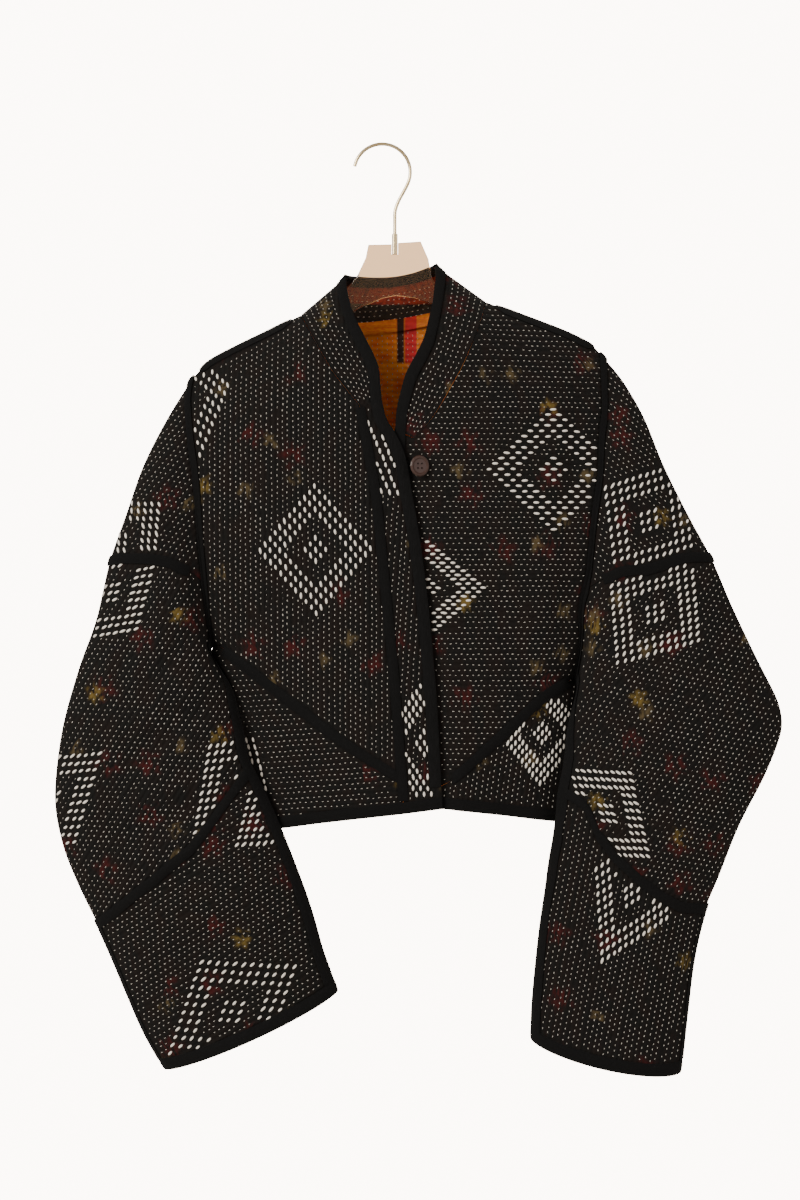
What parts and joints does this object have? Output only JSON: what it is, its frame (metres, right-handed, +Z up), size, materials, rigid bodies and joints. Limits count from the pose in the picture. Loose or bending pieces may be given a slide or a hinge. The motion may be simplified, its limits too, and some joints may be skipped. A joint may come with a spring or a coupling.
{
  "type": "quilted jacket on a hanger",
  "caption": "Cropped flat-sewn jacket with a stand-up collar, taped panel seams and wide bent sleeves, held open at the neck by a clear hanger with a wire hook.",
  "frame": {"origin": "the highest point inside the hook's crook, where the hook rests on a peg or rail", "axes": "X to the viewer's right when facing the jacket's front, the front faces -Y, Z up"},
  "size_m": [0.6509, 0.0973, 0.8401],
  "materials": {
    "quilted cloth": "matt, hand-quilted",
    "black binding": "matt woven tape",
    "clear plate": "clear, polished",
    "brass": "polished",
    "brown button": "satin"
  },
  "bodies": {
    "root": {"armhole_tape_left": "black binding", "armhole_tape_right": "black binding", "back": "quilted cloth", "button": "brown button", "collar": "quilted cloth", "collar_tape": "black binding", "cross_tape_left": "black binding", "cross_tape_right": "black binding", "cuff_tape_left": "black binding", "cuff_tape_right": "black binding", "diagonal_tape_left": "black binding", "diagonal_tape_right": "black binding", "edge_tape_left": "black binding", "edge_tape_right": "black binding", "ferrule": "brass", "front_left_side": "quilted cloth", "front_left_upper": "quilted cloth", "front_right_side": "quilted cloth", "front_right_upper": "quilted cloth", "hanger_plate": "clear plate", "hem_tape_back": "black binding", "hem_tape_left": "black binding", "hem_tape_right": "black binding", "hook_wire": "brass", "lower_tape_left": "black binding", "lower_tape_right": "black binding", "outer_tape_left": "black binding", "outer_tape_right": "black binding", "placket": "quilted cloth", "placket_tape": "black binding", "shoulder_tape_left": "black binding", "shoulder_tape_right": "black binding", "sleeve_left_cap": "quilted cloth", "sleeve_left_elbow": "quilted cloth", "sleeve_left_lower_back": "quilted cloth", "sleeve_left_lower_front": "quilted cloth", "sleeve_right_cap": "quilted cloth", "sleeve_right_elbow": "quilted cloth", "sleeve_right_lower_back": "quilted cloth", "sleeve_right_lower_front": "quilted cloth", "underarm_tape_left": "black binding", "underarm_tape_right": "black binding"}
  },
  "joints": []
}
